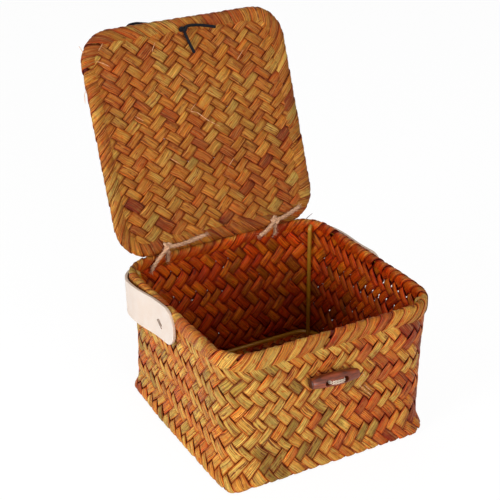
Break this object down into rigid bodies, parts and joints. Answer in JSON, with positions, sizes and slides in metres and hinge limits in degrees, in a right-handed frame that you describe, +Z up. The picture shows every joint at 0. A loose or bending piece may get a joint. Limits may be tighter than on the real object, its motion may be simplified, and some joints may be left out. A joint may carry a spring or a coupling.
{
  "type": "woven lidded box",
  "caption": "Square plaited leaf-strip box with a lashed hinged lid, a toggle and elastic loop closure, and leather strap handles.",
  "frame": {"origin": "middle of the underside of the box", "axes": "+Z up, the front with the toggle faces -Y, +X to the right seen from the front; the lid is hinged at the back, on the +Y side"},
  "size_m": [0.2116, 0.2844, 0.3107],
  "materials": {
    "leaf_weave": "dried leaf strips, satin, ochre to orange and olive",
    "leaf_fold": "dried leaf strips folded slantwise over a hoop",
    "lid_weave": "dried leaf strips, satin, warmer and browner",
    "hoop_wire": "olive-yellow coated wire",
    "twine": "hairy plant-fibre twine",
    "elastic_cord": "black covered elastic, matt",
    "toggle_wood": "dark polished wood with fine grain",
    "strap_leather": "cream leather, matt, cut edges",
    "stitch_thread": "grey-brown waxed thread"
  },
  "bodies": {
    "box": {"woven_box": "leaf_weave", "rim_fold": "leaf_fold", "rim_wire": "hoop_wire", "base_wire": "hoop_wire", "corner_post_front_left": "hoop_wire", "corner_post_front_right": "hoop_wire", "corner_post_back_left": "hoop_wire", "corner_post_back_right": "hoop_wire", "toggle": "toggle_wood", "toggle_twine": "twine", "handle_left": "strap_leather", "handle_right": "strap_leather", "handle_stitch_left_front": "stitch_thread", "handle_stitch_left_back": "stitch_thread", "handle_stitch_right_front": "stitch_thread", "handle_stitch_right_back": "stitch_thread", "hinge_tie_left": "twine", "hinge_tie_right": "twine"},
    "lid": {"lid_weave": "lid_weave", "lid_fold": "leaf_fold", "lid_wire": "hoop_wire", "elastic_loop": "elastic_cord", "elastic_knot": "elastic_cord"}
  },
  "joints": [
    {"name": "lid_hinge", "type": "hinge", "parent": "box", "child": "lid", "pos_m": [0, 0.0972, 0.1251], "axis": [-1, 0, 0], "range_deg": [-110, 70], "deforming": ["hinge_tie_left", "hinge_tie_right"]}
  ]
}
